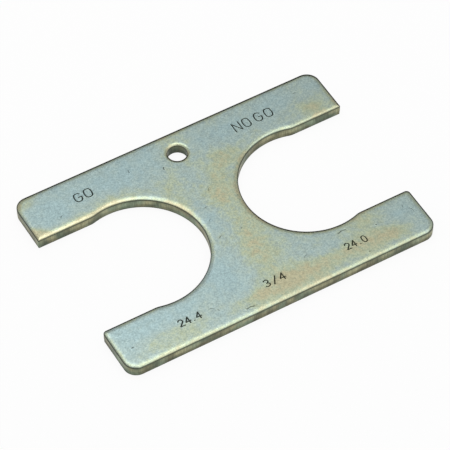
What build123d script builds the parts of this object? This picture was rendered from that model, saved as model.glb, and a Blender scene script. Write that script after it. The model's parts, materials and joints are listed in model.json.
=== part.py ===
"""Go and no-go gauge for the outside size of crimped pipe rings, punched from sheet steel.

One flat plate lies on z = 0 with its length along X and its width along Y. The GO jaw opens
at -X and the NO GO jaw at +X. Each jaw has two parallel lands that a crimped ring is tried
between, and a round relief behind them that is a little wider than the lands are apart.
A hanging hole stands at the middle of the +Y edge.
The punch drew the top edges down, so every top edge is rolled over, wider than it is deep,
and ends in a crisp line where the sheared wall begins. The bottom edges only have their
burr tumbled off.
"""

import os
from math import sqrt

from build123d import *

# Plate, in millimetres
plate_length = 65.5
plate_width = 45.4
plate_thickness = 2.38
outer_corner_radius = 2.6

# Jaws: the two ring limits of 0.960 and 0.945 inch, and reliefs made by one 1 inch punch
go_gap = 24.38
go_undercut = 0.51
no_go_gap = 24.0
no_go_undercut = 0.7
web_width = 9.9
mouth_corner_radius = 0.6
land_end_radius = 4.0

# Hanging hole
hole_diameter = 3.8
hole_edge_distance = 5.0

# Edges left by the punch and by tumbling
roll_width = 0.7
roll_depth = 0.25
roll_blend_radius = 1.0
burr_break = 0.12

half_length = plate_length / 2
hole_y = plate_width / 2 - hole_edge_distance


def relief_radius(gap, undercut):
    """The relief reaches behind the land on each side by the undercut."""
    return gap / 2 + undercut


def relief_centre(gap, undercut):
    """Distance from the middle of the plate to the centre of a jaw's relief."""
    return web_width / 2 + relief_radius(gap, undercut)


def land_end(gap, undercut):
    """Distance from the middle of the plate to the corner where a land meets its relief."""
    radius = relief_radius(gap, undercut)
    return relief_centre(gap, undercut) + sqrt(radius**2 - (gap / 2) ** 2)


def cut_jaw(side, gap, undercut):
    """Cuts one jaw out of the outline: side is -1 for the GO end and +1 for the NO GO end."""
    centre = relief_centre(gap, undercut)
    throat_length = half_length - centre
    with Locations((side * centre, 0)):
        Circle(relief_radius(gap, undercut), mode=Mode.SUBTRACT)
    with Locations((side * (centre + throat_length / 2), 0)):
        Rectangle(throat_length, gap, mode=Mode.SUBTRACT)


def corners_at(sketch, x, y):
    """The corners of an outline that stand x from its middle along X and y along Y."""
    same_place = 1e-4
    return sketch.vertices().filter_by(
        lambda corner: abs(abs(corner.X) - x) < same_place and abs(abs(corner.Y) - y) < same_place
    )


# Each jaw: the side it opens to, its gap and its undercut
jaws = ((-1, go_gap, go_undercut), (1, no_go_gap, no_go_undercut))

with BuildPart() as gauge_plate:
    with BuildSketch() as outline:
        Rectangle(plate_length, plate_width)
        for side, gap, undercut in jaws:
            cut_jaw(side, gap, undercut)
        fillet(corners_at(outline, half_length, plate_width / 2), outer_corner_radius)
        for side, gap, undercut in jaws:
            fillet(corners_at(outline, half_length, gap / 2), mouth_corner_radius)
            fillet(corners_at(outline, land_end(gap, undercut), gap / 2), land_end_radius)
        with Locations((0, hole_y)):
            Circle(hole_diameter / 2, mode=Mode.SUBTRACT)
    extrude(amount=plate_thickness)

    top_face = gauge_plate.faces().sort_by(Axis.Z)[-1]
    chamfer(top_face.edges(), length=roll_depth, length2=roll_width, reference=top_face)
    fillet(gauge_plate.faces().sort_by(Axis.Z)[-1].edges(), roll_blend_radius)
    chamfer(gauge_plate.faces().sort_by(Axis.Z)[0].edges(), burr_break)

gauge_plate.part.label = "gauge_plate"

os.makedirs("parts", exist_ok=True)
export_step(gauge_plate.part, "parts/gauge_plate.step")
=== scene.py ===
"""Go and no-go gauge for crimped pipe rings, as it looks: punched sheet steel, zinc plated.

The plate is one closed surface. A rim profile is carried round the outline and round the
hanging hole, flat fields close it above and below, and small fine fields set into the top
hold the stamped characters and the wear marks.
"""

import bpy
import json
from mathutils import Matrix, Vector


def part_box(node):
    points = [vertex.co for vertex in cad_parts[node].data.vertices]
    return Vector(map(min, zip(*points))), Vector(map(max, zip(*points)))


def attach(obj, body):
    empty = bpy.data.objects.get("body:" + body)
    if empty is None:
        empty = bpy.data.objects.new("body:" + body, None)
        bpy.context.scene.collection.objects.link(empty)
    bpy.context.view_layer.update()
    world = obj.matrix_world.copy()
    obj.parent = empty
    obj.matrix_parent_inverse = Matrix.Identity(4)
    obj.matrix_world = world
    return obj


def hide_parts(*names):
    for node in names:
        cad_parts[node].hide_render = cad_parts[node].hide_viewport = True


bl_info = {
    "name": "Crimp Ring Gauge",
    "version": (1, 0, 0),
    "blender": (4, 5, 0),
    "location": "3D View > Sidebar > Ring Gauge",
    "description": "Builds a zinc plated go and no-go gauge plate and its studio",
    "category": "Add Mesh",
}

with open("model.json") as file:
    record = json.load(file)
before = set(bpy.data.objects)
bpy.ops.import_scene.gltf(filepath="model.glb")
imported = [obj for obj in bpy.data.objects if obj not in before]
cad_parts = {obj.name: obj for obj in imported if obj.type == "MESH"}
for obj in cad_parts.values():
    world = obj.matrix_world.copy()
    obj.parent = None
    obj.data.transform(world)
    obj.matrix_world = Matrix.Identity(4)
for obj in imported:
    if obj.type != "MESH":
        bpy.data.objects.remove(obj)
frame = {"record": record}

import json
from math import atan2, ceil, cos, hypot, pi, radians, sin, sqrt

import bpy
import numpy as np
from bpy.props import FloatProperty, FloatVectorProperty, PointerProperty
from mathutils import Matrix, Vector
from mathutils.geometry import delaunay_2d_cdt

MM = 0.001
NODE = "gauge_plate"

plate_low, plate_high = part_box(NODE)
hole = next(mount for mount in frame["record"]["mounts"] if mount["name"] == "hanging_hole")


def linear(hex_colour):
    """An sRGB hex colour as linear red, green and blue."""
    values = np.array([int(hex_colour[i:i + 2], 16) for i in (1, 3, 5)]) / 255
    return tuple(np.where(values <= 0.04045, values / 12.92, ((values + 0.055) / 1.055) ** 2.4))


def length(name, metres, description):
    """A length that a user can change."""
    return FloatProperty(name=name, description=description, default=metres, min=0.0,
                         precision=5, unit="LENGTH", subtype="DISTANCE")


def colour(name, hex_colour, description):
    """A colour that a user can change."""
    return FloatVectorProperty(name=name, description=description, default=linear(hex_colour),
                               size=3, min=0.0, max=1.0, subtype="COLOR")


class GaugeSizes(bpy.types.PropertyGroup):
    """The plate's sizes. The outside sizes and the hole come from the frame."""

    plate_length: length("Length", plate_high.x - plate_low.x, "Along the two jaws")
    plate_width: length("Width", plate_high.y - plate_low.y, "Across the plate")
    thickness: length("Thickness", plate_high.z - plate_low.z, "Of the sheet")
    corner_radius: length("Corner radius", 2.6 * MM, "Outer corners of the outline")
    go_gap: length("GO gap", 24.38 * MM, "Between the GO lands, at -X")
    go_undercut: length("GO undercut", 0.51 * MM, "How far the relief reaches behind a GO land")
    no_go_gap: length("NO GO gap", 24.0 * MM, "Between the NO GO lands, at +X")
    no_go_undercut: length("NO GO undercut", 0.7 * MM, "The same behind a NO GO land")
    web_width: length("Web width", 9.9 * MM, "Between the two round reliefs")
    sharp_mouth_radius: length("Sharp mouth radius", 0.2 * MM, "Land corners on the hole's side")
    blunt_mouth_radius: length("Blunt mouth radius", 0.75 * MM, "Land corners on the other side")
    land_end_radius: length("Land end radius", 4.0 * MM, "Corners between land and relief")
    hole_radius: length("Hole radius", hole["dims"]["r_mm"] * MM, "Of the hanging hole")
    hole_y: length("Hole place", hole["pos_m"][1], "From the middle of the plate, along +Y")
    roll_depth: length("Roll depth", 0.25 * MM, "How far the punch drew the top edge down")
    roll_reach: length("Roll reach", 1.2 * MM, "How far in from the edge the roll begins")
    hole_roll_reach: length("Hole roll reach", 0.8 * MM, "The same round the hanging hole")
    burr_break: length("Burr break", 0.12 * MM, "Tumbled bottom edge")
    fracture_height: length("Fracture height", 0.95 * MM, "Where the steel tore, above z = 0")
    fracture_recess: length("Fracture recess", 0.05 * MM, "How far the torn band stands back")
    stamp_depth: length("Stamp depth", 0.13 * MM, "Of the stamped characters")
    stroke_width: length("Stroke width", 0.26 * MM, "Of a stamped stroke, across its groove")
    rim_spacing: length("Rim spacing", 0.3 * MM, "Between points along the outline")
    field_spacing: length("Field spacing", 1.2 * MM, "Between points on the flat faces")
    fine_spacing: length("Fine spacing", 0.045 * MM, "Between points in stamps and marks")


class GaugeColours(bpy.types.PropertyGroup):
    """The plating's colours: its film from thin to thick, the sheared wall and the painted shade.
    """

    blue_film: colour("Blue film", "#899d9e", "Thinnest passivation")
    clear_film: colour("Clear film", "#8e9d98", "Passivation of middle thickness")
    straw_film: colour("Straw film", "#959e88", "Thicker passivation")
    tan_film: colour("Tan film", "#9b987e", "Thickest passivation")
    burnished_wall: colour("Burnished wall", "#929173", "Upper band of the sheared wall")
    torn_wall: colour("Torn wall", "#7a7960", "Lower band of the sheared wall")
    green_wall: colour("Green wall", "#728370", "Cooler stretches of the wall")
    # the colour of painted shade: in grooves and dents, along the crisp line, on the hole's wall
    # and low on the sheared wall
    painted_shade_colour: colour("Dark line", "#2c3029", "Grooves, pits and the torn edge line")


GO_SIDE, NO_GO_SIDE = -1, 1
PLATING, WALL = 0, 1  # the plate's two finishes, in the order of its material slots
LOOKS = ("film", "dark", "rolled")  # what each point's looks are called, as attributes

# The net of points
WELD = 1e-7  # every point lies on this fine grid, so surfaces that share a border share points
NET_TOLERANCE = 1e-6  # points of a triangle net that are nearer than this are one (mm)
INSIDE_ONLY = 1  # the triangle net's output type that leaves out what lies outside its loops
LEAST_RADIUS = 0.05 * MM  # a corner moved in past its radius keeps this one
LEAST_ARC_STEPS = 5
RUN_SLACK = 0.01  # a straight run shorter than this share of the spacing counts as none
HOLE_POINTS, OVAL_POINTS = 64, 22
LATTICE_CLEARANCE = 0.35  # from a flat field's lattice to its loops, as a share of its spacing

# The rim's section
BREAK_POINTS, TORN_POINTS, BURNISHED_POINTS, ROLL_POINTS = 5, 9, 5, 14
SWELL_START = 0.6  # share of the fracture height at which the torn band begins to swell out
ROLL_POWER = 2.2
ROLL_CROWDING = 1.7  # above 1, the roll's points stand closer together near the crisp line
INWARD_STEP = 0.05 * MM  # between the two outlines that give the way inwards
TORN_GRIT = 0.012 * MM
GRIT_FROM, GRIT_TO = 0.5, 0.9  # where it lies, as shares of the burr break and fracture height

# Painted shade and burnish round the crisp line
LINE_SHADE = 0.92
# painted shade over the whole wall of the hanging hole
HOLE_WALL_SHADE = 0.55
EDGE_LINE, HOLE_LINE = 0.3 * MM, 0.05 * MM  # how far in the dark line reaches
LINE_DROP = 0.14 * MM  # how far down the wall it reaches
LINE_CORE, ROLL_CORE = 0.1, 0.3  # shares of their reach over which the line and the roll are full

# A groove's section, in shares of its half width, or for the lip's height of its depth
GROOVE_FLOOR = 0.25
LIP_PLACE, LIP_WIDTH, LIP_HEIGHT = 1.35, 0.3, 0.08
# where the painted shade in a groove is full, and where it ends
GROOVE_SHADE_CORE, GROOVE_SHADE_REACH = 0.3, 1.15

# Words and figures: text, middle of the row along X and Y, letter height and width, pitch (mm)
STAMPS = (
    ("GO", -20.35, 17.6, 2.0, 1.45, 2.1),
    ("NO", 14.05, 17.55, 2.15, 1.4, 2.15),
    ("GO", 18.85, 17.6, 2.1, 1.45, 2.2),
    ("24.4", -17.65, -17.75, 1.5, 0.95, 1.37),
    ("3/4", 0.2, -17.8, 1.55, 1.05, 1.65),
    ("24.0", 17.6, -17.9, 1.5, 0.95, 1.37),
)
POINT_PITCH = 0.6  # a decimal point takes this share of a figure's pitch
STAMP_TILT = radians(2.2)  # each punch was held by hand, so it stands a little off
STAMP_SLIP = 0.05 * MM
STAMP_MARGIN = 0.42 * MM  # from a stroke to the border of its fine field

# Wear marks on the top: start and end along X and Y, width and depth (mm)
MARKS = (
    (-13.3, -17.55, -12.75, -17.85, 0.16, 0.05),
    (-12.2, -18.4, -12.05, -18.75, 0.14, 0.04),
    (-7.5, -20.98, -6.0, -21.08, 0.3, 0.06),
    (-29.8, -18.05, -29.7, -18.1, 0.36, 0.07),
    (23.1, -16.2, 23.16, -16.2, 0.3, 0.08),
    (18.75, -20.95, 18.8, -20.95, 0.3, 0.08),
    (15.9, -14.45, 17.6, -14.3, 0.3, 0.05),
    (-10.2, 18.0, -10.1, 18.7, 0.16, 0.05),
    (-4.2, 15.3, -3.95, 15.95, 0.18, 0.05),
    (14.65, 15.0, 14.7, 15.0, 0.26, 0.07),
    (29.65, -15.4, 29.75, -14.75, 0.14, 0.04),
    (30.6, -15.9, 30.9, -17.1, 0.2, 0.04),
    (-3.5, -4.2, -2.9, -3.9, 0.16, 0.04),
    (-2.3, 3.3, -1.7, 3.45, 0.18, 0.04),
    (1.1, -4.3, 1.45, -4.1, 0.16, 0.05),
    (-3.2, 0.2, -2.6, 0.55, 0.14, 0.03),
    (0.4, 6.6, 0.9, 7.2, 0.14, 0.03),
    (-26.5, 14.9, -26.0, 15.3, 0.16, 0.04),
    (7.6, -16.1, 8.3, -15.8, 0.14, 0.03),
    (26.4, 19.2, 27.1, 19.3, 0.14, 0.03),
)
MARK_MARGIN = 0.22 * MM
MARK_BEND = 0.12  # how far a mark's middle stands off its straight line, as a share of its length
# how strong the painted shade in a wear mark's dent is
MARK_SHADE = 0.6

# Where the passivation ran thicker: middle and reach along X and Y (mm), and how much
THICK_POOLS = (
    (-32.4, 13.0, 1.6, 1.6, 0.95),
    (-25.0, 12.6, 6.0, 0.9, 0.35),
    (-15.5, 13.6, 4.5, 1.6, 0.4),
    (-6.3, 5.0, 1.8, 5.0, 0.35),
    (0.0, 17.7, 2.9, 2.9, 0.4),
    (7.8, 11.6, 3.0, 2.4, 0.34),
    (2.8, 4.2, 2.6, 6.0, 0.34),
    (0.6, -9.0, 3.0, 4.2, 0.38),
    (27.8, 14.9, 4.2, 2.2, 0.32),
    (21.3, -14.2, 2.4, 1.2, 0.4),
    (1.8, -19.4, 3.8, 1.9, 0.5),
    (-5.2, -20.0, 3.4, 1.6, 0.42),
    (8.0, -19.2, 4.6, 2.2, 0.42),
    (17.8, -18.8, 4.4, 1.9, 0.5),
    (25.2, -19.5, 3.2, 1.3, 0.38),
    (-22.5, -19.3, 5.0, 2.0, 0.35),
    (-31.5, 20.5, 1.6, 1.6, 0.3),
)
# The same where it ran thinner
THIN_POOLS = (
    (-27.0, 17.5, 4.5, 3.2, 0.35),
    (-13.0, 17.5, 8.0, 3.4, 0.4),
    (-8.5, -11.5, 3.5, 5.0, 0.4),
    (-27.5, -15.5, 4.5, 2.6, 0.35),
    (-19.0, -15.8, 4.5, 2.0, 0.2),
    (12.0, -16.0, 3.0, 1.5, 0.2),
    (7.0, 17.5, 6.0, 2.5, 0.25),
    (22.0, 19.5, 7.0, 2.5, 0.15),
    (-3.0, 1.0, 1.8, 4.0, 0.2),
    (29.0, -16.5, 2.4, 2.2, 0.25),
)
POOL_SPREAD = 1.25  # widens every pool
BASE_FILM = 0.42  # away from the pools
ROLL_FILM = 0.3  # how much thicker the film is on the roll


def smooth_step(value, low, high):
    """Rises from 0 at low to 1 at high as t * t * (3 - 2 * t)."""
    t = np.clip((value - low) / (high - low), 0, 1)
    return t * t * (3 - 2 * t)


def corner_arc(x, y, radius, inset, start):
    """A quarter arc that rounds the convex corner at (x, y), for the outline moved in by inset.

    The arc stays tangent to both moved sides. Past its own radius it shrinks to a tiny arc,
    which moves in along the corner's bisector.
    """
    moved = max(radius - inset, LEAST_RADIUS)
    back = inset + moved
    return (x - back * np.sign(x), y - back * np.sign(y), moved, start, start + pi / 2)


def relief_circle(sizes, gap, undercut):
    """How far a jaw's relief circle stands from the middle of the plate, and its radius."""
    radius = gap / 2 + undercut
    return sizes.web_width / 2 + radius, radius


def jaw_arcs(sizes, gap, undercut, inset):
    """The five arcs of a jaw that opens at +X, in the order of a walk with the plate on the left.

    A land stands half the gap from the middle. The relief circle reaches behind it by the
    undercut, and the land end arc touches the land and the relief circle from inside the plate.
    """
    half_gap = gap / 2
    centre, relief = relief_circle(sizes, gap, undercut)
    end_y = half_gap + sizes.land_end_radius
    end_x = sqrt((relief + sizes.land_end_radius) ** 2 - end_y**2)
    touch = atan2(end_y, end_x)
    end_radius = sizes.land_end_radius - inset
    blunt, sharp = (
        max(radius - inset, LEAST_RADIUS)
        for radius in (sizes.blunt_mouth_radius, sizes.sharp_mouth_radius)
    )
    mouth_x = sizes.plate_length / 2 - inset
    mouth_y = half_gap + inset
    return (
        (mouth_x - blunt, -mouth_y - blunt, blunt, 0, pi / 2),
        (centre + end_x, -end_y, end_radius, pi / 2, pi - touch),
        (centre, 0, relief + inset, -touch, touch - 2 * pi),
        (centre + end_x, end_y, end_radius, touch - pi, -pi / 2),
        (mouth_x - sharp, mouth_y + sharp, sharp, -pi / 2, 0),
    )


def outline_arcs(sizes, inset):
    """All arcs of the outline moved in by inset, counterclockwise from the corner at -X, -Y."""
    half_length, half_width = sizes.plate_length / 2, sizes.plate_width / 2
    corners = [
        corner_arc(side_x * half_length, side_y * half_width, sizes.corner_radius, inset, start)
        for side_x, side_y, start in ((-1, -1, pi), (1, -1, 1.5 * pi), (1, 1, 0), (-1, 1, pi / 2))
    ]
    no_go = jaw_arcs(sizes, sizes.no_go_gap, sizes.no_go_undercut, inset)
    go = jaw_arcs(sizes, sizes.go_gap, sizes.go_undercut, inset)
    go_mirrored = [(-x, y, radius, pi - end, pi - start) for x, y, radius, start, end in go[::-1]]
    return [*corners[:2], *no_go, *corners[2:], *go_mirrored]


def arc_points(arc, count):
    """Points on an arc: its centre plus its radius times the cosine and sine of the angle."""
    x, y, radius, start, end = arc
    angles = np.linspace(start, end, count)
    return np.stack((x + radius * np.cos(angles), y + radius * np.sin(angles)), axis=1)


def outline(sizes, inset):
    """The plate's outline moved in by inset, with as many points at every inset.

    Each arc, and each straight run between two arcs, gets its count from the outline itself.
    """
    nominal = outline_arcs(sizes, 0.0)
    moved = outline_arcs(sizes, inset)
    pieces = []
    for i, (_, _, radius, start_angle, end_angle) in enumerate(nominal):
        following = (i + 1) % len(nominal)
        arc_length = radius * abs(end_angle - start_angle)
        count = max(LEAST_ARC_STEPS, ceil(arc_length / sizes.rim_spacing)) + 1
        run = arc_points(nominal[following], 2)[0] - arc_points(nominal[i], 2)[1]
        steps = ceil(hypot(*run) / sizes.rim_spacing - RUN_SLACK)
        points = arc_points(moved[i], count)
        if steps == 0:
            points = points[:-1]
        else:
            share = np.linspace(0, 1, steps + 1)[1:-1, None]
            start, end = points[-1], arc_points(moved[following], 2)[0]
            points = np.concatenate((points, start + share * (end - start)))
        pieces.append(points)
    return np.concatenate(pieces)


def hole_outline(sizes, inset):
    """The hanging hole's circle, clockwise, with its radius larger by the inset."""
    angles = -np.arange(HOLE_POINTS) * 2 * pi / HOLE_POINTS
    radius = sizes.hole_radius + inset
    return np.stack((radius * np.cos(angles), sizes.hole_y + radius * np.sin(angles)), axis=1)


def rim_profile(sizes, roll_reach):
    """The edge's section from the bottom face to the top face: insets, heights, the line's row.

    A quarter round breaks the bottom edge. The torn band stands back and swells out to the
    burnished band, which is upright. Above the crisp line the roll stands below the top by its
    depth times a power of one minus the inset's share, so it ends level at its inner end.
    """
    turn = np.linspace(0, pi / 2, BREAK_POINTS)
    broken = sizes.fracture_recess + sizes.burr_break * (1 - np.sin(turn))
    broken_height = sizes.burr_break * (1 - np.cos(turn))
    torn_height = np.linspace(sizes.burr_break, sizes.fracture_height, TORN_POINTS)[1:]
    swell = smooth_step(torn_height, SWELL_START * sizes.fracture_height, sizes.fracture_height)
    line_height = sizes.thickness - sizes.roll_depth
    burnished_height = np.linspace(sizes.fracture_height, line_height, BURNISHED_POINTS)[1:]
    share = np.linspace(0, 1, ROLL_POINTS)[1:] ** ROLL_CROWDING
    roll_height = sizes.thickness - sizes.roll_depth * (1 - share) ** ROLL_POWER
    inset = np.concatenate((broken, sizes.fracture_recess * (1 - swell),
                            np.zeros(len(burnished_height)), roll_reach * share))
    height = np.concatenate((broken_height, torn_height, burnished_height, roll_height))
    return inset, height, len(inset) - len(share) - 1


def film_thickness(points):
    """How thick the passivation ran at each point, 0 to 1: a base with soft round pools.

    Each pool adds its amount, or for a thin pool takes it away, times e to the minus squared
    distance, in units of its reach times POOL_SPREAD.
    """
    x, y = points[:, 0] / MM, points[:, 1] / MM
    film = np.full(len(points), BASE_FILM)
    for pools, sign in ((THICK_POOLS, 1), (THIN_POOLS, -1)):
        for pool_x, pool_y, reach_x, reach_y, amount in pools:
            across, along = (x - pool_x) / reach_x, (y - pool_y) / reach_y
            film += sign * amount * np.exp(-(across**2 + along**2) / POOL_SPREAD**2)
    return np.clip(film, 0, 1)


class Surface:
    """Triangles with their corners' run and height, and their looks, before welding.

    dark, rolled and film belong to points: the painted shade in grooves, dents, on the crisp line
    and in the hole, the burnish of the roll, and the passivation's thickness. On flat fields X and
    Y stand for the run and the height.
    """

    def __init__(self, points, triangles, material=PLATING, dark=0.0, rolled=0.0, edge_run=None):
        self.points = points
        self.triangles = triangles
        self.material = np.broadcast_to(material, len(triangles))
        self.dark = np.broadcast_to(dark, len(points))
        self.rolled = np.broadcast_to(rolled, len(points))
        self.film = film_thickness(points) + ROLL_FILM * self.rolled
        self.edge_run = points[triangles][:, :, :2] if edge_run is None else edge_run


def grid_triangles(rows, columns, closed):
    """Two triangles for each cell of a grid of rows by columns; closed joins the last column."""
    row = np.arange(rows - 1)[:, None]
    column = np.arange(columns if closed else columns - 1)[None, :]
    following = (column + 1) % columns
    low_left, low_right = row * columns + column, row * columns + following
    high_left, high_right = low_left + columns, low_right + columns
    lower = np.stack((low_left, low_right, high_right), axis=-1)
    upper = np.stack((low_left, high_right, high_left), axis=-1)
    return np.stack((lower, upper), axis=2).reshape(-1, 3)


def rim(sizes, loop_at, roll_reach, line_reach, wall_darkness, seed):
    """The edge profile carried round a loop: row k is the loop at the profile's inset k.

    The torn band is roughened along the loop's own inward direction. Painted shade is thickest on
    the crisp line and fades by line_reach above it and by LINE_DROP below it.
    """
    inset, height, line_row = rim_profile(sizes, roll_reach)
    edge = loop_at(sizes, 0.0)
    inward = (loop_at(sizes, INWARD_STEP) - edge) / INWARD_STEP
    flat = np.stack([loop_at(sizes, value) for value in inset])
    rows, columns = flat.shape[:2]
    torn = (height > GRIT_FROM * sizes.burr_break) & (height < GRIT_TO * sizes.fracture_height)
    grit = np.random.default_rng(seed).uniform(0, TORN_GRIT, (rows, columns)) * torn[:, None]
    flat = flat + grit[:, :, None] * inward
    heights = np.broadcast_to(height[:, None, None], (rows, columns, 1))
    points = np.concatenate((flat, heights), axis=2).reshape(-1, 3)
    triangles = grid_triangles(rows, columns, closed=True)

    step = np.linalg.norm(np.roll(edge, -1, axis=0) - edge, axis=1)
    run = np.concatenate(([0.0], np.cumsum(step)))
    cell_row, column = np.divmod(np.arange(len(triangles)) // 2, columns)
    is_next = (triangles % columns) != column[:, None]
    edge_run = np.stack((run[column[:, None] + is_next], points[triangles][:, :, 2]), axis=2)

    line_height = sizes.thickness - sizes.roll_depth
    # painted shade along the crisp line: full at the line, fading inwards over line_reach and down
    # the wall over LINE_DROP
    dark_above = 1 - smooth_step(inset, LINE_CORE * line_reach, line_reach)
    dark_below = 1 - smooth_step(line_height - height, 0.0, LINE_DROP)
    # painted shade over the whole wall of the hanging hole, below the crisp line
    dark_wall = wall_darkness * (np.arange(rows) < line_row)
    dark = np.maximum(LINE_SHADE * dark_above * dark_below, dark_wall)
    rolled = 1 - smooth_step(inset, ROLL_CORE * roll_reach, roll_reach)
    surface = Surface(points, triangles, np.where(cell_row < line_row, WALL, PLATING),
                      np.repeat(dark, columns), np.repeat(rolled, columns), edge_run)
    return surface, flat[0], flat[-1]


def oval(x, y, half_width, half_height, start, end, squareness=0.8):
    """Points on an oval between two angles in degrees; a squareness under 1 makes it boxy.

    They stand at the half width and height times the cosine and sine of the angle, each raised
    to the squareness with its sign kept.
    """
    angles = np.radians(np.linspace(start, end, OVAL_POINTS))
    across, up = np.cos(angles), np.sin(angles)
    return np.stack((
        x + half_width * np.sign(across) * np.abs(across) ** squareness,
        y + half_height * np.sign(up) * np.abs(up) ** squareness,
    ), axis=1)


# Strokes of each character in a cell of width 1 and height 1, about its middle
CHARACTERS = {
    "G": ([*oval(0, 0, 0.5, 0.5, 40, 345), (0.5, 0.0), (0.08, 0.0)],),
    "O": (oval(0, 0, 0.5, 0.5, 0, 360, 0.7),),
    "N": ([(-0.5, -0.5), (-0.5, 0.5), (0.5, -0.5), (0.5, 0.5)],),
    "0": (oval(0, 0, 0.45, 0.5, 0, 360),),
    "2": ([*oval(0, 0.22, 0.45, 0.28, 165, -35, 1.0), (-0.45, -0.5), (0.47, -0.5)],),
    "3": (oval(0, 0.25, 0.42, 0.25, 150, -90, 1.0), oval(0, -0.25, 0.47, 0.25, 90, -150, 1.0)),
    "4": ([(0.22, -0.5), (0.22, 0.5), (-0.5, -0.18), (0.5, -0.18)],),
    ".": ([(-0.03, -0.46), (0.03, -0.46)],),
    "/": ([(-0.4, -0.55), (0.4, 0.55)],),
}


def stroke_ends(strokes):
    """Starts and ends of all straight pieces of some strokes."""
    starts = np.concatenate([np.array(stroke)[:-1] for stroke in strokes])
    ends = np.concatenate([np.array(stroke)[1:] for stroke in strokes])
    return starts, ends


def stroke_distance(points, starts, ends):
    """Each point's distance to the nearest straight piece, by projection onto every piece."""
    along = ends - starts
    offset = points[:, None, :] - starts
    share = np.clip((offset * along).sum(2) / (along**2).sum(1), 0, 1)
    return np.linalg.norm(offset - share[:, :, None] * along, axis=2).min(axis=1)


def pressed_groove(distance, width, depth):
    """Height and painted shade over a groove: flat floor, sloped sides and a slight lip outside.

    The sides rise by smooth_step. The lip is a bell, e to the minus squared distance from its
    place, in units of its width.
    """
    share = distance / (width / 2)
    floor = -depth * (1 - smooth_step(share, GROOVE_FLOOR, 1))
    lip = LIP_HEIGHT * depth * np.exp(-(((share - LIP_PLACE) / LIP_WIDTH) ** 2))
    return floor + lip, 1 - smooth_step(share, GROOVE_SHADE_CORE, GROOVE_SHADE_REACH)


def text_strokes(text, x, y, letter_height, letter_width, pitch, seed):
    """The strokes of a row of characters, each set a little off its place as by hand."""
    chance = np.random.default_rng(seed)
    advance = np.array([pitch * (POINT_PITCH if character == "." else 1) for character in text])
    places = np.cumsum(advance) - advance / 2
    places = places - places[0] / 2 - places[-1] / 2
    size = np.array((letter_width, letter_height))
    starts, ends = [], []
    for character, place in zip(text, places):
        tilt = chance.uniform(-STAMP_TILT, STAMP_TILT)
        slip = chance.uniform(-STAMP_SLIP, STAMP_SLIP, 2)
        turn = np.array(((cos(tilt), sin(tilt)), (-sin(tilt), cos(tilt))))
        for found, kept in zip(stroke_ends(CHARACTERS[character]), (starts, ends)):
            kept.append(found * size @ turn + (x + place, y) + slip)
    return np.concatenate(starts), np.concatenate(ends)


def mark_strokes(start_x, start_y, end_x, end_y):
    """The two strokes of a wear mark, whose middle stands a little off the straight line."""
    start, end = np.array((start_x, start_y)), np.array((end_x, end_y))
    middle = (start + end) / 2 + MARK_BEND * np.array((start_y - end_y, end_x - start_x))
    return stroke_ends([(start, middle, end)])


def pressed_field(sizes, strokes, width, depth, margin, darkness=1.0):
    """A fine rectangular field of the top face round some strokes, and its border.

    The height is the sheet's top plus the groove's height at the distance to the strokes.
    Its last points all round lie level in the top face, so that the flat field can meet them.
    """
    starts, ends = strokes
    low = np.minimum(starts, ends).min(axis=0) - margin
    high = np.maximum(starts, ends).max(axis=0) + margin
    columns, rows = np.ceil((high - low) / sizes.fine_spacing).astype(int) + 1
    x, y = np.linspace(low[0], high[0], columns), np.linspace(low[1], high[1], rows)
    flat = np.stack(np.meshgrid(x, y), axis=-1)
    distance = stroke_distance(flat.reshape(-1, 2), starts, ends)
    rise, dark = pressed_groove(distance, width, depth)
    inside = np.zeros((rows, columns))
    inside[1:-1, 1:-1] = 1
    rise, dark = rise * inside.ravel(), darkness * dark * inside.ravel()
    points = np.column_stack((flat.reshape(-1, 2), sizes.thickness + rise))
    border = np.concatenate((flat[0, :-1], flat[:-1, -1], flat[-1, :0:-1], flat[:0:-1, 0]))
    triangles = grid_triangles(rows, columns, closed=False)
    return Surface(points, triangles, dark=dark), border


def inside_plate(sizes, points, margin):
    """True for points that are at least margin inside the outline and outside the hole."""
    x, y = points.T
    inside = np.abs(x) < sizes.plate_length / 2 - margin
    inside &= np.abs(y) < sizes.plate_width / 2 - margin
    inside &= np.hypot(x, y - sizes.hole_y) > sizes.hole_radius + margin
    jaws = (
        (GO_SIDE, sizes.go_gap, sizes.go_undercut),
        (NO_GO_SIDE, sizes.no_go_gap, sizes.no_go_undercut),
    )
    for side, gap, undercut in jaws:
        centre, relief = relief_circle(sizes, gap, undercut)
        out = side * x - centre
        inside &= np.hypot(out, y) >= relief + margin
        inside &= (out <= 0) | (np.abs(y) >= gap / 2 + margin)
    return inside


def on_weld_grid(points):
    """Points rounded to the weld grid."""
    return np.round(points / WELD) * WELD


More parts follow.
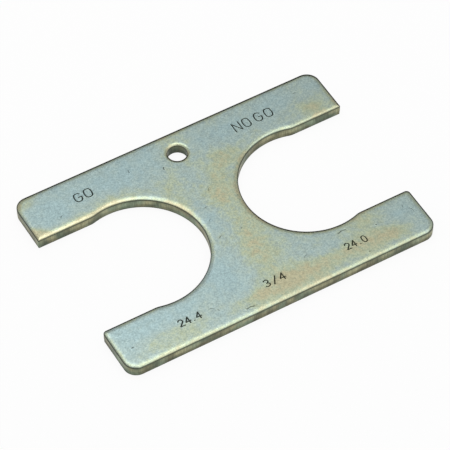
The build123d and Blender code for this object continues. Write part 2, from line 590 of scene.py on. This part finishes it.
def flat_field(sizes, outer, inner, borders, height, facing):
    """Fills between a face's outer loop, its hole loop and the borders of its fine fields.

    The loops are fixed edges of a triangle net, whose other points stand on a square lattice.
    Triangles inside the hole or a fine field are left out, by where their middles are. They
    face up where facing is 1, and down where it is -1.
    """
    half_length, half_width = sizes.plate_length / 2, sizes.plate_width / 2
    x = np.arange(-half_length, half_length, sizes.field_spacing)
    y = np.arange(-half_width, half_width, sizes.field_spacing)
    lattice = np.stack(np.meshgrid(x, y), axis=-1).reshape(-1, 2)
    clear = LATTICE_CLEARANCE * sizes.field_spacing
    lattice = lattice[inside_plate(sizes, lattice, sizes.roll_reach + clear)]
    boxes = [(border.min(axis=0), border.max(axis=0)) for border in borders]
    for low, high in boxes:
        lattice = lattice[~((lattice > low - clear) & (lattice < high + clear)).all(axis=1)]

    loops = [outer, inner, *borders]
    points = on_weld_grid(np.concatenate([*loops, lattice]))
    edges = []
    first = 0
    for loop in loops:
        index = np.arange(len(loop))
        edges.append(first + np.stack((index, np.roll(index, -1)), axis=1))
        first += len(loop)
    net = delaunay_2d_cdt((points / MM).tolist(), np.concatenate(edges).tolist(), [],
                          INSIDE_ONLY, NET_TOLERANCE)
    flat, triangles = np.array(net[0]) * MM, np.array(net[2])

    middle = flat[triangles].mean(axis=1)
    hole_middle = (0, sizes.hole_y)
    kept = np.hypot(*(middle - hole_middle).T) > np.hypot(*(inner[0] - hole_middle))
    for low, high in boxes:
        kept &= ~((middle > low) & (middle < high)).all(axis=1)
    triangles = triangles[kept][:, ::facing]
    return Surface(np.column_stack((flat, np.full(len(flat), height))), triangles)


def welded_object(name, surfaces, sizes):
    """One mesh of all surfaces, with equal points merged, and its attributes.

    edge_run is a UV map with the run along the edge and the height. The edge where the roll
    meets the wall is marked sharp.
    """
    points = np.concatenate([surface.points for surface in surfaces])
    firsts = np.cumsum([0] + [len(surface.points) for surface in surfaces[:-1]])
    triangles = np.concatenate([s.triangles + first for s, first in zip(surfaces, firsts)])
    keys = np.round(points / WELD).astype(np.int64)
    _, chosen, place = np.unique(keys, axis=0, return_index=True, return_inverse=True)
    points = points[chosen]
    triangles = place.reshape(-1)[triangles]
    whole = (triangles != np.roll(triangles, 1, axis=1)).all(axis=1)

    mesh = bpy.data.meshes.new(name)
    mesh.from_pydata(points, [], triangles[whole])
    material = np.concatenate([surface.material for surface in surfaces])[whole]
    mesh.polygons.foreach_set("material_index", material.astype(np.int32))
    mesh.polygons.foreach_set("use_smooth", np.ones(len(material), bool))
    edge_run = np.concatenate([surface.edge_run for surface in surfaces])[whole]
    mesh.uv_layers.new(name="edge_run").data.foreach_set("uv", edge_run.astype(np.float32).ravel())
    for look in LOOKS:
        values = np.concatenate([getattr(surface, look) for surface in surfaces])[chosen]
        layer = mesh.attributes.new(look, "FLOAT", "POINT")
        layer.data.foreach_set("value", values.astype(np.float32))

    ends = np.empty(len(mesh.edges) * 2, np.int32)
    mesh.edges.foreach_get("vertices", ends)
    line_height = sizes.thickness - sizes.roll_depth
    on_line = np.abs(points[:, 2] - line_height) < WELD
    sharp = on_line[ends.reshape(-1, 2)].all(axis=1)
    mesh.attributes.new("sharp_edge", "BOOLEAN", "EDGE").data.foreach_set("value", sharp)
    mesh.update()
    return linked_object(mesh)


def linked_object(mesh):
    """An object in the scene for a mesh, with the mesh's name."""
    piece = bpy.data.objects.new(mesh.name, mesh)
    bpy.context.scene.collection.objects.link(piece)
    return piece


def empty_tree(owner):
    """The node tree of a material or a world, with nothing in it."""
    owner.use_nodes = True
    owner.node_tree.nodes.clear()
    return owner.node_tree


def add_node(tree, kind, inputs=(), **settings):
    """Adds a node with its settings and inputs.

    The inputs come in the order of the node's own, or by name in a dictionary. Each is a
    value, an output socket, or a node, which stands for its first output. Sockets that the
    settings put out of use don't count.
    """
    node = tree.nodes.new(kind)
    for name, value in settings.items():
        setattr(node, name, value)
    if not isinstance(inputs, dict):
        inputs = dict(zip((i for i, socket in enumerate(node.inputs) if socket.enabled), inputs))
    for name, value in inputs.items():
        if isinstance(value, bpy.types.Node):
            value = next(socket for socket in value.outputs if socket.enabled)
        if isinstance(value, bpy.types.NodeSocket):
            tree.links.new(value, node.inputs[name])
        else:
            node.inputs[name].default_value = value
    return node


def opaque(rgb):
    """A colour with full alpha."""
    return (*rgb, 1.0)


def shaded(tree, base, pattern, span, shades):
    """A colour made darker and lighter by a pattern, whose values over span become shades."""
    shade = add_node(tree, "ShaderNodeMapRange", (pattern, *span, *shades))
    return add_node(tree, "ShaderNodeMix", (1.0, base, shade),
                    data_type="RGBA", blend_type="MULTIPLY")


NOISE_SPAN = (0.3, 0.7)  # most values of a noise lie within this

# The plating's patterns: how wide their lumps are, and their detail. Real zinc crystals are
# finer than these, which are as coarse as they need to be to show.
CLOUDS = (4.5 * MM, 3.0)
BLOTCHES = (1.1 * MM, 3.0)
GRAINS = (0.28 * MM, 2.0)
CRYSTALS = (0.11 * MM, 1.0)
CLOUD_SWING, BLOTCH_SWING, GRAIN_SWING = 0.16, 0.09, 0.08  # how much they change the film
GRAIN_SHADES, CRYSTAL_SHADES = (0.8, 1.2), (0.86, 1.12)
CRYSTAL_SPAN = (0.25, 0.75)
FILM_STOPS = (0.08, 0.42, 0.72, 0.95)  # film thickness of the blue, clear, straw and tan colours
PLATING_ROUGHNESS = (0.34, 0.46)
ROLL_BURNISH = 0.16  # how much smoother the roll is
CRYSTAL_STRENGTH, CRYSTAL_RISE = 0.5, 0.006 * MM
GRAIN_STRENGTH, GRAIN_RISE = 0.6, 0.012 * MM

# The same for the sheared wall, and its bands by height above z = 0
STREAKS = (0.16 * MM, 2.0)
PATCHES = (3.2 * MM, 2.0)
STRETCHES = (2.8 * MM, 1.0)
GRIT = (0.14 * MM, 2.0)
STREAK_SQUEEZE = 0.07  # the height times this, so that streaks stand upright
STREAK_SHADES, GRIT_SHADES, STRETCH_SHADES = (0.7, 1.24), (0.88, 1.1), (0.68, 1.26)
STRETCH_SPAN, PATCH_SPAN = (0.38, 0.62), (0.42, 0.62)
MOST_GREEN = 0.75
BURNISHED_FROM, BURNISHED_FULL = 0.85 * MM, 1.25 * MM
# painted contact shadow at the bottom of the wall: strongest at FOOT_FROM above z = 0, gone at
# FOOT_TO
FOOT_FROM, FOOT_TO, FOOT_SHADOW = 0.02 * MM, 0.4 * MM, 0.8
WALL_ROUGHNESS = (0.55, 0.4)  # of the torn and the burnished band
STREAK_STRENGTH, STREAK_RISE = 0.7, 0.02 * MM
GRIT_STRENGTH, GRIT_RISE = 0.5, 0.01 * MM


def bright_zinc_plating(colours):
    """Electroplated zinc with a blue passivation on rolled, tumbled sheet.

    It gives the eye a satin metal whose film turns from pale blue over grey-green to straw
    and tan where it dried thicker, with a fine matt grain and painted shade in every groove and
    along the crisp line.
    """
    material = bpy.data.materials.new("bright_zinc_plating")
    tree = empty_tree(material)
    place = add_node(tree, "ShaderNodeTexCoord").outputs["Object"]
    film, dark, rolled = (
        add_node(tree, "ShaderNodeAttribute", attribute_name=look).outputs["Fac"] for look in LOOKS
    )
    cloud, blotch, grain, crystal = (
        add_node(tree, "ShaderNodeTexNoise", (place, 1 / width, detail))
        for width, detail in (CLOUDS, BLOTCHES, GRAINS, CRYSTALS)
    )

    for pattern, swing in ((cloud, CLOUD_SWING), (blotch, BLOTCH_SWING), (grain, GRAIN_SWING)):
        change = add_node(tree, "ShaderNodeMapRange", (pattern, *NOISE_SPAN, -swing, swing))
        film = add_node(tree, "ShaderNodeMath", (change, film), operation="ADD")
    tint = add_node(tree, "ShaderNodeValToRGB", (film,))
    stops = tint.color_ramp.elements
    stops[0].position, stops[1].position = FILM_STOPS[0], FILM_STOPS[-1]
    for position in FILM_STOPS[1:-1]:
        stops.new(position)
    films = (colours.blue_film, colours.clear_film, colours.straw_film, colours.tan_film)
    for stop, film_colour in zip(stops, films):
        stop.color = opaque(film_colour)

    grained = shaded(tree, tint, grain, NOISE_SPAN, GRAIN_SHADES)
    speckled = shaded(tree, grained, crystal, CRYSTAL_SPAN, CRYSTAL_SHADES)
    # painted shade from the dark attribute: in grooves and dents and along the crisp line
    with_painted_shade = add_node(tree, "ShaderNodeMix", (dark, speckled, opaque(colours.painted_shade_colour)),
                     data_type="RGBA")
    matt = add_node(tree, "ShaderNodeMapRange", (blotch, *NOISE_SPAN, *PLATING_ROUGHNESS))
    burnish = add_node(tree, "ShaderNodeMath", (rolled, ROLL_BURNISH), operation="MULTIPLY")
    roughness = add_node(tree, "ShaderNodeMath", (matt, burnish), operation="SUBTRACT")
    crystal_bump = add_node(tree, "ShaderNodeBump", {
        "Height": crystal, "Strength": CRYSTAL_STRENGTH, "Distance": CRYSTAL_RISE,
    })
    grain_bump = add_node(tree, "ShaderNodeBump", {
        "Height": grain, "Strength": GRAIN_STRENGTH, "Distance": GRAIN_RISE,
        "Normal": crystal_bump,
    })
    shader = add_node(tree, "ShaderNodeBsdfPrincipled", {
        "Base Color": with_painted_shade, "Metallic": 1.0, "Roughness": roughness, "Normal": grain_bump,
    })
    add_node(tree, "ShaderNodeOutputMaterial", (shader,))
    return material


def sheared_zinc_edge(colours):
    """Zinc plating on the sheared wall, burnished above and torn below.

    It gives the eye an olive, duller metal with upright streaks where the punch slid past,
    darker and rougher where the steel tore, and cooler green stretches.
    """
    material = bpy.data.materials.new("sheared_zinc_edge")
    tree = empty_tree(material)
    place = add_node(tree, "ShaderNodeTexCoord").outputs["Object"]
    dark = add_node(tree, "ShaderNodeAttribute", attribute_name="dark").outputs["Fac"]
    edge_run = add_node(tree, "ShaderNodeUVMap", uv_map="edge_run")
    parts = add_node(tree, "ShaderNodeSeparateXYZ", (edge_run,)).outputs
    run, height = parts["X"], parts["Y"]
    squeezed = add_node(tree, "ShaderNodeMath", (height, STREAK_SQUEEZE), operation="MULTIPLY")
    upright = add_node(tree, "ShaderNodeCombineXYZ", (run, squeezed))
    sources = (upright, place, place, place)
    streak, patch, stretch, grit = (
        add_node(tree, "ShaderNodeTexNoise", (source, 1 / width, detail))
        for source, (width, detail) in zip(sources, (STREAKS, PATCHES, STRETCHES, GRIT))
    )

    upper = add_node(tree, "ShaderNodeMapRange", (height, BURNISHED_FROM, BURNISHED_FULL, 0.0, 1.0))
    green = add_node(tree, "ShaderNodeMapRange", (patch, *PATCH_SPAN, 0.0, MOST_GREEN))
    # painted contact shadow, strongest at the bottom of the wall
    contact_shadow = add_node(tree, "ShaderNodeMapRange", (height, FOOT_FROM, FOOT_TO, FOOT_SHADOW, 0.0))
    tint = opaque(colours.torn_wall)
    for share, other in ((upper, colours.burnished_wall), (green, colours.green_wall)):
        tint = add_node(tree, "ShaderNodeMix", (share, tint, opaque(other)), data_type="RGBA")
    tint = shaded(tree, tint, streak, NOISE_SPAN, STREAK_SHADES)
    tint = shaded(tree, tint, grit, NOISE_SPAN, GRIT_SHADES)
    tint = shaded(tree, tint, stretch, STRETCH_SPAN, STRETCH_SHADES)
    # painted contact shadow low on the wall, and painted shade along the crisp line and on the
    # hole's wall
    shade_paint = opaque(colours.painted_shade_colour)
    for share in (contact_shadow, dark):
        tint = add_node(tree, "ShaderNodeMix", (share, tint, shade_paint), data_type="RGBA")
    roughness = add_node(tree, "ShaderNodeMapRange", (upper, 0.0, 1.0, *WALL_ROUGHNESS))
    streak_bump = add_node(tree, "ShaderNodeBump", {
        "Height": streak, "Strength": STREAK_STRENGTH, "Distance": STREAK_RISE,
    })
    grit_bump = add_node(tree, "ShaderNodeBump", {
        "Height": grit, "Strength": GRIT_STRENGTH, "Distance": GRIT_RISE,
        "Normal": streak_bump,
    })
    shader = add_node(tree, "ShaderNodeBsdfPrincipled", {
        "Base Color": tint, "Metallic": 1.0, "Roughness": roughness, "Normal": grit_bump,
    })
    add_node(tree, "ShaderNodeOutputMaterial", (shader,))
    return material


class GAUGE_OT_plate(bpy.types.Operator):
    """Build the stamped and zinc plated gauge plate over its frame"""

    bl_idname = "ring_gauge.plate"
    bl_label = "Gauge Plate"

    def execute(self, context):
        sizes, colours = context.scene.gauge_sizes, context.scene.gauge_colours
        outer_rim, outer_bottom, outer_top = rim(
            sizes, outline, sizes.roll_reach, EDGE_LINE, wall_darkness=0.0, seed=1)
        hole_rim, hole_bottom, hole_top = rim(
            sizes, hole_outline, sizes.hole_roll_reach, HOLE_LINE, HOLE_WALL_SHADE, seed=2)
        fields = []
        for seed, (text, *places) in enumerate(STAMPS):
            strokes = text_strokes(text, *(value * MM for value in places), seed)
            fields.append(pressed_field(
                sizes, strokes, sizes.stroke_width, sizes.stamp_depth, STAMP_MARGIN))
        for *places, width, depth in np.array(MARKS) * MM:
            strokes = mark_strokes(*places)
            fields.append(pressed_field(sizes, strokes, width, depth, MARK_MARGIN, MARK_SHADE))
        borders = [border for _, border in fields]
        top = flat_field(sizes, outer_top, hole_top, borders, sizes.thickness, facing=1)
        bottom = flat_field(sizes, outer_bottom, hole_bottom, [], 0.0, facing=-1)
        surfaces = [outer_rim, hole_rim, top, bottom, *(surface for surface, _ in fields)]
        plate = welded_object("zinc_plated_gauge", surfaces, sizes)
        plate.data.materials.append(bright_zinc_plating(colours))
        plate.data.materials.append(sheared_zinc_edge(colours))
        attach(plate, "root")
        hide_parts(NODE)
        return {"FINISHED"}


# Camera, as the photograph was taken
CAMERA_TARGET = Vector((-1.112, -2.093, 2.38)) * MM
CAMERA_AZIMUTH, CAMERA_ELEVATION, CAMERA_ROLL = radians(-30.077), radians(51.076), radians(-0.35)
CAMERA_DISTANCE = 0.5711
CAMERA_LENS, SENSOR_WIDTH = 246.355, 36.0  # mm
CLIP_START = 0.01

# Surround, floor and flag (m)
STUDIO_LEVEL = 0.55  # how strongly the white surround lights what stands in it
FLOOR_GLOW = 0.92  # how much of the floor's look is plain white, and not its lit and shaded paper
FLOOR_HALF, FLOOR_DROP = 2.0, 0.02 * MM
FLAG_SPAN = (85.0, 235.0)  # azimuth, degrees
FLAG_DISTANCE, FLAG_HEIGHT, FLAG_POINTS = 0.45, 0.18, 40
WHITE, PAPER, CLOTH = "#ffffff", "#f7f7f7", "#060606"

# Lamps: name, azimuth and elevation (degrees), distance and size (m), power (W)
LAMPS = (
    ("overhead_softbox", 75.0, 72.0, 0.7, 0.42, 0.825),
    ("near_softbox", 182.0, 71.0, 0.34, 0.2, 0.24),
)


def direction(azimuth, elevation):
    """The unit vector at an azimuth, 0 towards -Y and 90 degrees towards +X, and an elevation."""
    return Vector((sin(azimuth) * cos(elevation), -cos(azimuth) * cos(elevation), sin(elevation)))


def looking(place, target, roll=0.0):
    """The matrix of something at place that looks at target, turned by roll about its view."""
    turn = (target - place).to_track_quat("-Z", "Y").to_matrix().to_4x4()
    return Matrix.Translation(place) @ turn @ Matrix.Rotation(roll, 4, "Z")


def seen_directly(tree):
    """1 for what the camera sees, by itself or through metal or glass, and 0 for other light."""
    path = add_node(tree, "ShaderNodeLightPath").outputs
    seen = path["Is Camera Ray"]
    for ray in ("Is Glossy Ray", "Is Transmission Ray"):
        seen = add_node(tree, "ShaderNodeMath", (seen, path[ray]), operation="MAXIMUM")
    return seen


def add_floor():
    """A white studio floor that keeps the plate's shadow."""
    corners = [
        (FLOOR_HALF * x, FLOOR_HALF * y, -FLOOR_DROP)
        for x, y in ((-1, -1), (1, -1), (1, 1), (-1, 1))
    ]
    mesh = bpy.data.meshes.new("studio_floor")
    mesh.from_pydata(corners, [], [(0, 1, 2, 3)])
    floor = linked_object(mesh)
    material = bpy.data.materials.new("white_seamless_paper")
    tree = empty_tree(material)
    paper = add_node(tree, "ShaderNodeBsdfDiffuse", (opaque(linear(PAPER)),))
    glow = add_node(tree, "ShaderNodeEmission", (opaque(linear(WHITE)), 1.0))
    seen = seen_directly(tree)
    share = add_node(tree, "ShaderNodeMath", (seen, FLOOR_GLOW), operation="MULTIPLY")
    surface = add_node(tree, "ShaderNodeMixShader", (share, paper, glow))
    add_node(tree, "ShaderNodeOutputMaterial", (surface,))
    mesh.materials.append(material)


def add_flag():
    """A black cloth flag round the back of the table, a band of a cylinder standing on the floor.

    It lends the far edges their dark line, and the camera doesn't see it.
    """
    angles = np.radians(np.linspace(*FLAG_SPAN, FLAG_POINTS))
    x, y = FLAG_DISTANCE * np.sin(angles), -FLAG_DISTANCE * np.cos(angles)
    loops = [np.stack((x, y, np.full(len(x), height)), axis=1) for height in (0.0, FLAG_HEIGHT)]
    mesh = bpy.data.meshes.new("black_flag")
    mesh.from_pydata(np.concatenate(loops), [], grid_triangles(2, len(x), closed=False))
    flag = linked_object(mesh)
    flag.visible_camera = flag.visible_diffuse = flag.visible_shadow = False
    material = bpy.data.materials.new("black_cloth")
    tree = empty_tree(material)
    cloth = add_node(tree, "ShaderNodeBsdfDiffuse", (opaque(linear(CLOTH)),))
    add_node(tree, "ShaderNodeOutputMaterial", (cloth,))
    mesh.materials.append(material)


def set_world(scene):
    """A white surround that lights the stage more softly than it looks."""
    world = bpy.data.worlds.new("white_surround")
    tree = empty_tree(world)
    seen = seen_directly(tree)
    strength = add_node(tree, "ShaderNodeMapRange", (seen, 0.0, 1.0, STUDIO_LEVEL, 1.0))
    surround = add_node(tree, "ShaderNodeBackground", (opaque(linear(WHITE)), strength))
    add_node(tree, "ShaderNodeOutputWorld", (surround,))
    scene.world = world


def add_lamps(scene):
    """Square soft lamps that look at the middle of the plate."""
    for name, azimuth, elevation, distance, size, power in LAMPS:
        lamp = bpy.data.lights.new(name, "AREA")
        lamp.energy, lamp.size = power, size
        holder = bpy.data.objects.new(name, lamp)
        place = direction(radians(azimuth), radians(elevation)) * distance
        holder.matrix_world = looking(place, Vector())
        scene.collection.objects.link(holder)


def add_camera(scene):
    """The camera, which looks at its target from the photograph's side."""
    camera = bpy.data.objects.new("camera", bpy.data.cameras.new("camera"))
    camera.data.lens = CAMERA_LENS
    camera.data.sensor_width = SENSOR_WIDTH
    camera.data.clip_start = CLIP_START
    place = CAMERA_TARGET + direction(CAMERA_AZIMUTH, CAMERA_ELEVATION) * CAMERA_DISTANCE
    camera.matrix_world = looking(place, CAMERA_TARGET, CAMERA_ROLL)
    scene.collection.objects.link(camera)
    scene.camera = camera


class GAUGE_OT_stage(bpy.types.Operator):
    """Set up the white floor, the black flag, the surround, the soft lamps and the camera"""

    bl_idname = "ring_gauge.stage"
    bl_label = "Studio Stage"

    def execute(self, context):
        add_floor()
        add_flag()
        set_world(context.scene)
        add_lamps(context.scene)
        add_camera(context.scene)
        context.scene.view_settings.view_transform = "Standard"
        return {"FINISHED"}


class GAUGE_PT_panel(bpy.types.Panel):
    """The gauge's operators and values in the 3D view's sidebar"""

    bl_idname = "GAUGE_PT_panel"
    bl_label = "Crimp Ring Gauge"
    bl_space_type = "VIEW_3D"
    bl_region_type = "UI"
    bl_category = "Ring Gauge"

    def draw(self, context):
        layout = self.layout
        for group in (context.scene.gauge_sizes, context.scene.gauge_colours):
            column = layout.column(align=True)
            for name in type(group).__annotations__:
                column.prop(group, name)
        for operator in (GAUGE_OT_plate, GAUGE_OT_stage):
            layout.operator(operator.bl_idname)


CLASSES = (GaugeSizes, GaugeColours, GAUGE_OT_plate, GAUGE_OT_stage, GAUGE_PT_panel)


def register():
    for cls in CLASSES:
        bpy.utils.register_class(cls)
    bpy.types.Scene.gauge_sizes = PointerProperty(type=GaugeSizes)
    bpy.types.Scene.gauge_colours = PointerProperty(type=GaugeColours)


def unregister():
    del bpy.types.Scene.gauge_colours
    del bpy.types.Scene.gauge_sizes
    for cls in reversed(CLASSES):
        bpy.utils.unregister_class(cls)


def main():
    """Builds the gauge and its stage."""
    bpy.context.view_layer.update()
    register()
    bpy.ops.ring_gauge.plate()
    bpy.ops.ring_gauge.stage()


if __name__ == "__main__":
    main()
